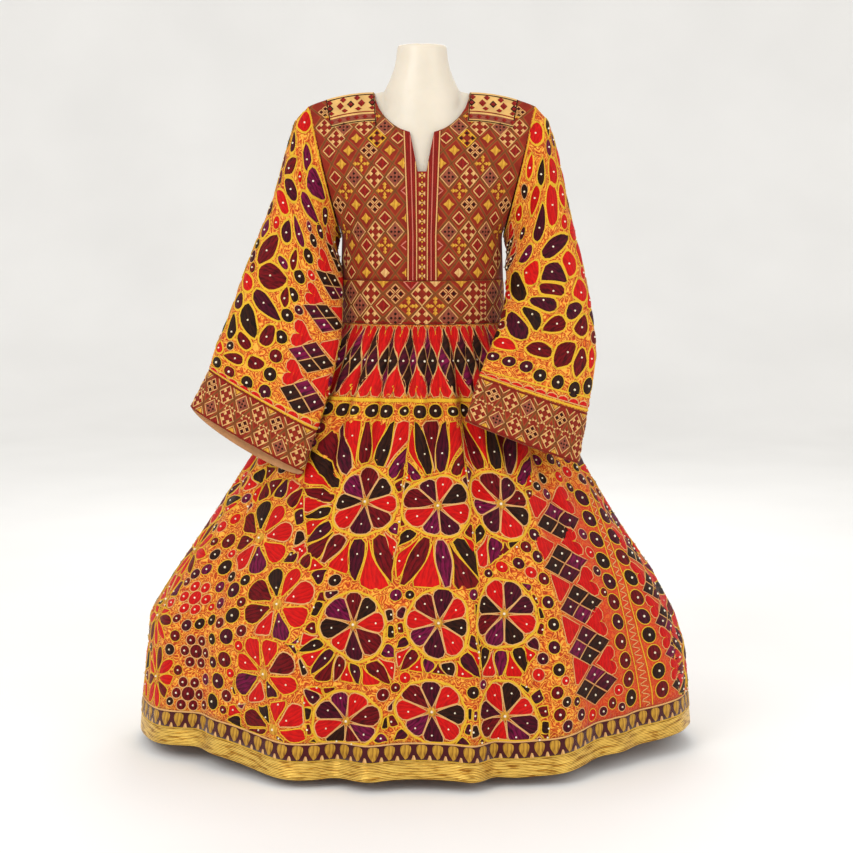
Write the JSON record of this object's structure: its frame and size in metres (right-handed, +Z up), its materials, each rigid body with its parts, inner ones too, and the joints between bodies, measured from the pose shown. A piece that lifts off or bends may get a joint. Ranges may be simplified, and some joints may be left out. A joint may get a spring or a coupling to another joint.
{
  "type": "afghan bridal dress on a limbless dress form",
  "caption": "Full-length gathered dress with lattice bodice, wide bell sleeves and gold hem ribbon, worn by a limbless dress form on a round stand.",
  "frame": {"origin": "centre of the stand base's flat underside, on the floor", "axes": "+Z up; the dress's front faces -Y; +X is on the right of someone who looks at the front"},
  "size_m": [1.08, 0.6736, 1.335],
  "materials": {
    "lattice_cloth": "counted-thread embroidery on brick red cotton, matt with a faint thread sheen",
    "pale_band": "pale gold counted-thread embroidery band",
    "placket_cloth": "red embroidered placket with cream lines",
    "flower_cloth": "dense satin-stitch embroidery in plum, red and gold over an orange ground",
    "maroon_border": "maroon band with gold motifs",
    "gold_ribbon": "metallic gold woven ribbon, shiny",
    "form_plastic": "smooth ivory moulded plastic, satin",
    "stand_steel": "polished steel"
  },
  "bodies": {
    "root": {"bodice_front": "lattice_cloth", "bodice_back": "lattice_cloth", "placket": "placket_cloth", "shoulder_band_left": "pale_band", "shoulder_band_right": "pale_band", "waist_band_front": "lattice_cloth", "waist_band_back": "lattice_cloth", "sleeve_left_front": "flower_cloth", "sleeve_left_back": "flower_cloth", "sleeve_right_front": "flower_cloth", "sleeve_right_back": "flower_cloth", "cuff_left_front": "lattice_cloth", "cuff_left_back": "lattice_cloth", "cuff_right_front": "lattice_cloth", "cuff_right_back": "lattice_cloth", "skirt_front": "flower_cloth", "skirt_side_left": "flower_cloth", "skirt_side_right": "flower_cloth", "skirt_back": "flower_cloth", "hem_border": "maroon_border", "hem_ribbon": "gold_ribbon", "form_torso": "form_plastic", "stand_pole": "stand_steel", "stand_base": "stand_steel"}
  },
  "joints": []
}
